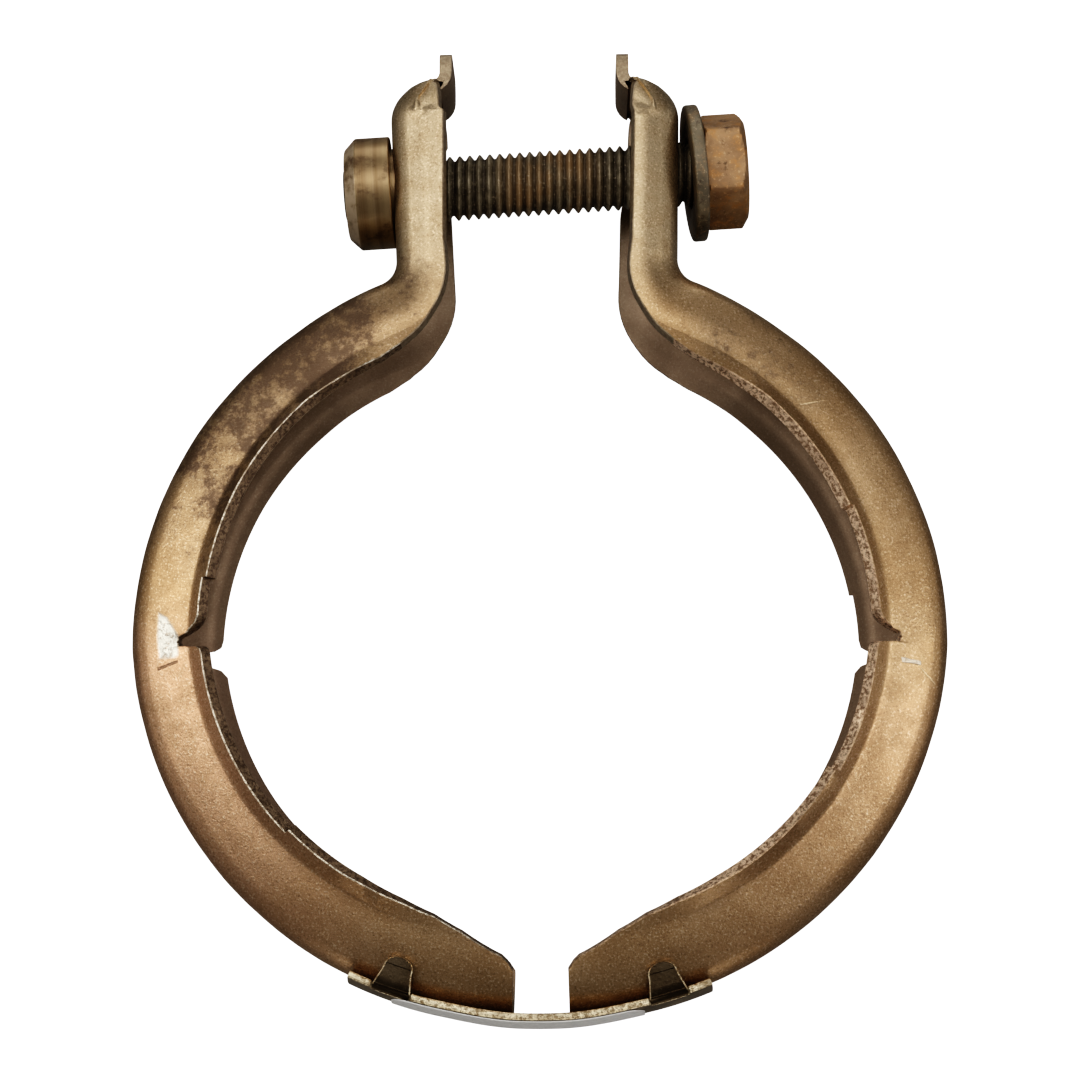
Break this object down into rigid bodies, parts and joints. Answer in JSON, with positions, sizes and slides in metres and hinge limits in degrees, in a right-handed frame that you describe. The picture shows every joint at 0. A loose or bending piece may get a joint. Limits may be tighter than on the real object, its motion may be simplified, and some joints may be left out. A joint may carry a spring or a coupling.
{
  "type": "v-band clamp",
  "caption": "Opened V-band pipe coupling: pressed channel half shells hinged on a spring strip and drawn together by a hex bolt in a round barrel nut.",
  "frame": {"origin": "under the middle of the clamp's outline, on the surface it lies on", "axes": "+Z along the axis of the pipe, +Y from the hinge strip towards the ears, +X from the nut towards the bolt's head"},
  "size_m": [0.0978, 0.1196, 0.0186],
  "materials": {
    "shell_left": "heat-tinted stainless sheet, satin",
    "shell_right": "heat-tinted stainless sheet, satin",
    "barrel_nut": "turned, heat-tinted",
    "bolt": "oxidised, matte",
    "washer": "oxidised, matte",
    "hinge_strip": "spring steel strip, satin",
    "label": "white paper label"
  },
  "bodies": {
    "left_half": {"shell_left": "shell_left", "barrel_nut": "barrel_nut", "hinge_strip": "hinge_strip", "label": "label"},
    "right_half": {"shell_right": "shell_right"},
    "washer_stage": {"washer": "washer"},
    "bolt_stage": {"bolt": "bolt"}
  },
  "joints": [
    {"name": "strip_flex", "type": "hinge", "parent": "left_half", "child": "right_half", "pos_m": [0, -0.05887, 0.00931], "axis": [0, 0, 1], "range_deg": [0, 9.4], "deforming": ["hinge_strip", "label"]},
    {"name": "bolt_advance", "type": "slide", "parent": "left_half", "child": "washer_stage", "axis": [-0.9984, -0.0558, 0], "range_m": [0, 0.0173]},
    {"name": "bolt_spin", "type": "hinge", "parent": "washer_stage", "child": "bolt_stage", "pos_m": [0, 0.0443, 0.00931], "axis": [-0.9984, -0.0558, 0], "range_deg": [0, 4920]}
  ],
  "couplings": [
    {"joint": "bolt_advance", "follows": "bolt_spin", "m_per_rad": 0.00019894},
    {"joint": "strip_flex", "follows": "bolt_spin", "ratio": 0.0019087}
  ]
}
